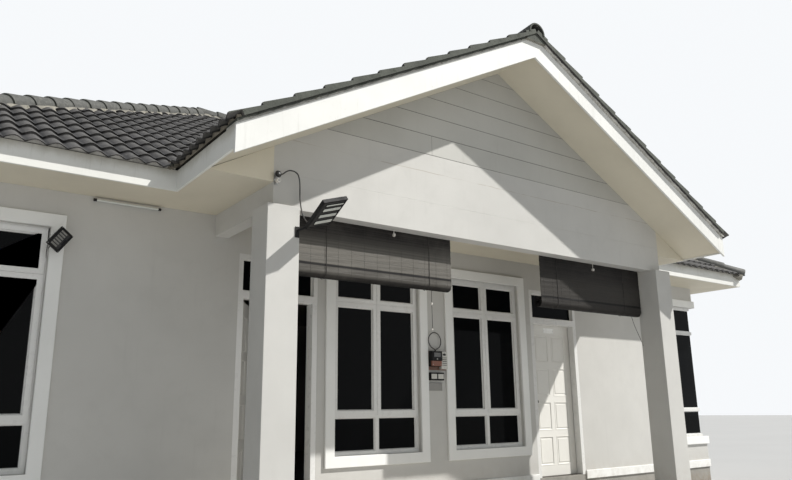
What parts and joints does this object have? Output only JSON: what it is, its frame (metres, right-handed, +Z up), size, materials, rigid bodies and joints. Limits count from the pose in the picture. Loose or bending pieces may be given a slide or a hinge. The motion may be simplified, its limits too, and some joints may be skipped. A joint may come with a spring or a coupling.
{
  "type": "bungalow",
  "caption": "Single-storey plastered bungalow with a hipped tiled roof, a gabled front porch on two square columns, corner windows and two hinged panelled doors.",
  "frame": {"origin": "on the ground, under the middle of the roof's outline", "axes": "+Z up, +X along the front to the right as seen from the street, +Y from the front to the back"},
  "size_m": [13.094, 11.222, 6.378],
  "materials": {
    "wall_paint": "painted plaster",
    "white_plaster": "painted plaster",
    "concrete": "rough",
    "white_frame": "satin paint",
    "dark_glass": "smooth",
    "door_paint": "satin paint",
    "brass": "aged",
    "board_paint": "painted board",
    "soffit_board": "painted board",
    "roof_tile": "matt concrete tile",
    "bamboo": "dark stained",
    "dark_plastic": "matt",
    "lamp_metal": "matt",
    "white_plastic": "satin",
    "steel": "weathered",
    "cord": "braided cord"
  },
  "bodies": {
    "house": {"base_wall": "concrete", "floor_slab": "concrete", "porch_floor": "concrete", "plinth_band": "white_plaster", "front_wall_left": "wall_paint", "front_wall_middle": "wall_paint", "front_wall_right": "wall_paint", "door_heads": "wall_paint", "left_wall": "wall_paint", "right_wall": "wall_paint", "back_wall": "wall_paint", "window_surrounds": "white_plaster", "corner_surrounds": "white_plaster", "window_frames": "white_frame", "corner_window_frames": "white_frame", "window_glass": "dark_glass", "corner_glass": "dark_glass", "door_frames": "door_paint", "transom_glass": "dark_glass", "door_hinge_pins": "brass", "porch_columns": "wall_paint", "porch_beams": "wall_paint", "pediment_wall": "wall_paint", "pediment_planks": "wall_paint", "ceiling_boards": "soffit_board", "soffit_boards": "soffit_board", "rake_soffits": "soffit_board", "fascia_boards": "board_paint", "barge_boards": "board_paint", "main_roof": "roof_tile", "porch_roof": "roof_tile", "ridge_caps": "roof_tile", "left_blind": "bamboo", "right_blind": "bamboo", "blind_cords": "cord", "meter_boxes": "dark_plastic", "meter_cable": "dark_plastic", "solar_light": "lamp_metal", "floodlight": "lamp_metal", "tube_light": "white_plastic", "wire_bracket": "steel"},
    "left_door": {"left_door_leaf": "door_paint", "left_door_hardware": "brass"},
    "right_door": {"right_door_leaf": "door_paint", "right_door_hardware": "brass"}
  },
  "joints": [
    {"name": "left_door_hinge", "type": "hinge", "parent": "house", "child": "left_door", "pos_m": [-2.5855, -3.4262, 1.3], "axis": [0, 0, 1], "range_deg": [-57, 33]},
    {"name": "right_door_hinge", "type": "hinge", "parent": "house", "child": "right_door", "pos_m": [2.6705, -3.4262, 1.3], "axis": [0, 0, -1], "range_deg": [0, 90]}
  ]
}
